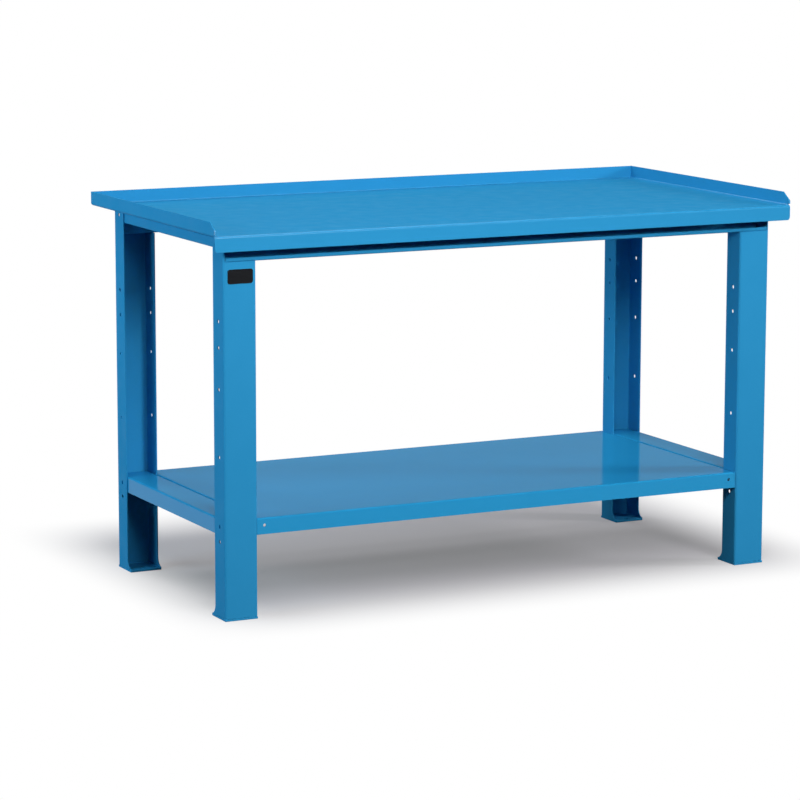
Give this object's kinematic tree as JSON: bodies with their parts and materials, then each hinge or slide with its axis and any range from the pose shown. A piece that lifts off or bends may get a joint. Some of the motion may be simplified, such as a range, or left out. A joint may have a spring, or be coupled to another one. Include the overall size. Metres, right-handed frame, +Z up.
{
  "type": "workbench",
  "caption": "Steel workbench with a lipped tray top, folded channel legs punched along their flanges, foot plates and a lower shelf.",
  "frame": {"origin": "on the floor, under the middle of the bench's length and depth", "axes": "+X to the right along the front, +Y from the front to the rear, +Z up"},
  "size_m": [1.5, 0.75, 0.91],
  "materials": {
    "blue_powder_coat": "semi-gloss powder coat",
    "blue_powder_coat_gloss": "glossy powder coat",
    "zinc_plated_steel": "bright zinc plating"
  },
  "bodies": {
    "root": {"worktop": "blue_powder_coat", "worktop_stiffener_front": "blue_powder_coat", "worktop_stiffener_rear": "blue_powder_coat", "worktop_nut_front_left": "zinc_plated_steel", "worktop_nut_front_middle": "zinc_plated_steel", "worktop_nut_front_right": "zinc_plated_steel", "worktop_nut_rear_left": "zinc_plated_steel", "worktop_nut_rear_middle": "zinc_plated_steel", "worktop_nut_rear_right": "zinc_plated_steel", "rail_front": "blue_powder_coat", "rail_rear": "blue_powder_coat", "rail_plate_front_left": "blue_powder_coat", "rail_plate_front_right": "blue_powder_coat", "rail_plate_rear_left": "blue_powder_coat", "rail_plate_rear_right": "blue_powder_coat", "rail_screw_front_left": "zinc_plated_steel", "rail_screw_front_right": "zinc_plated_steel", "rail_screw_rear_left": "zinc_plated_steel", "rail_screw_rear_right": "zinc_plated_steel", "end_beam_left": "blue_powder_coat", "end_beam_right": "blue_powder_coat", "leg_front_left": "blue_powder_coat", "leg_front_right": "blue_powder_coat", "leg_rear_left": "blue_powder_coat", "leg_rear_right": "blue_powder_coat", "foot_plate_front_left": "blue_powder_coat", "foot_plate_front_right": "blue_powder_coat", "foot_plate_rear_left": "blue_powder_coat", "foot_plate_rear_right": "blue_powder_coat", "shelf_panel": "blue_powder_coat_gloss", "shelf_stiffener": "blue_powder_coat_gloss", "shelf_end_left": "blue_powder_coat_gloss", "shelf_end_right": "blue_powder_coat_gloss", "shelf_bolt_front_left": "zinc_plated_steel", "shelf_bolt_front_right": "zinc_plated_steel", "shelf_bolt_rear_left": "zinc_plated_steel", "shelf_bolt_rear_right": "zinc_plated_steel", "shelf_nut_front_left": "zinc_plated_steel", "shelf_nut_front_right": "zinc_plated_steel", "shelf_nut_rear_left": "zinc_plated_steel", "shelf_nut_rear_right": "zinc_plated_steel"}
  },
  "joints": []
}
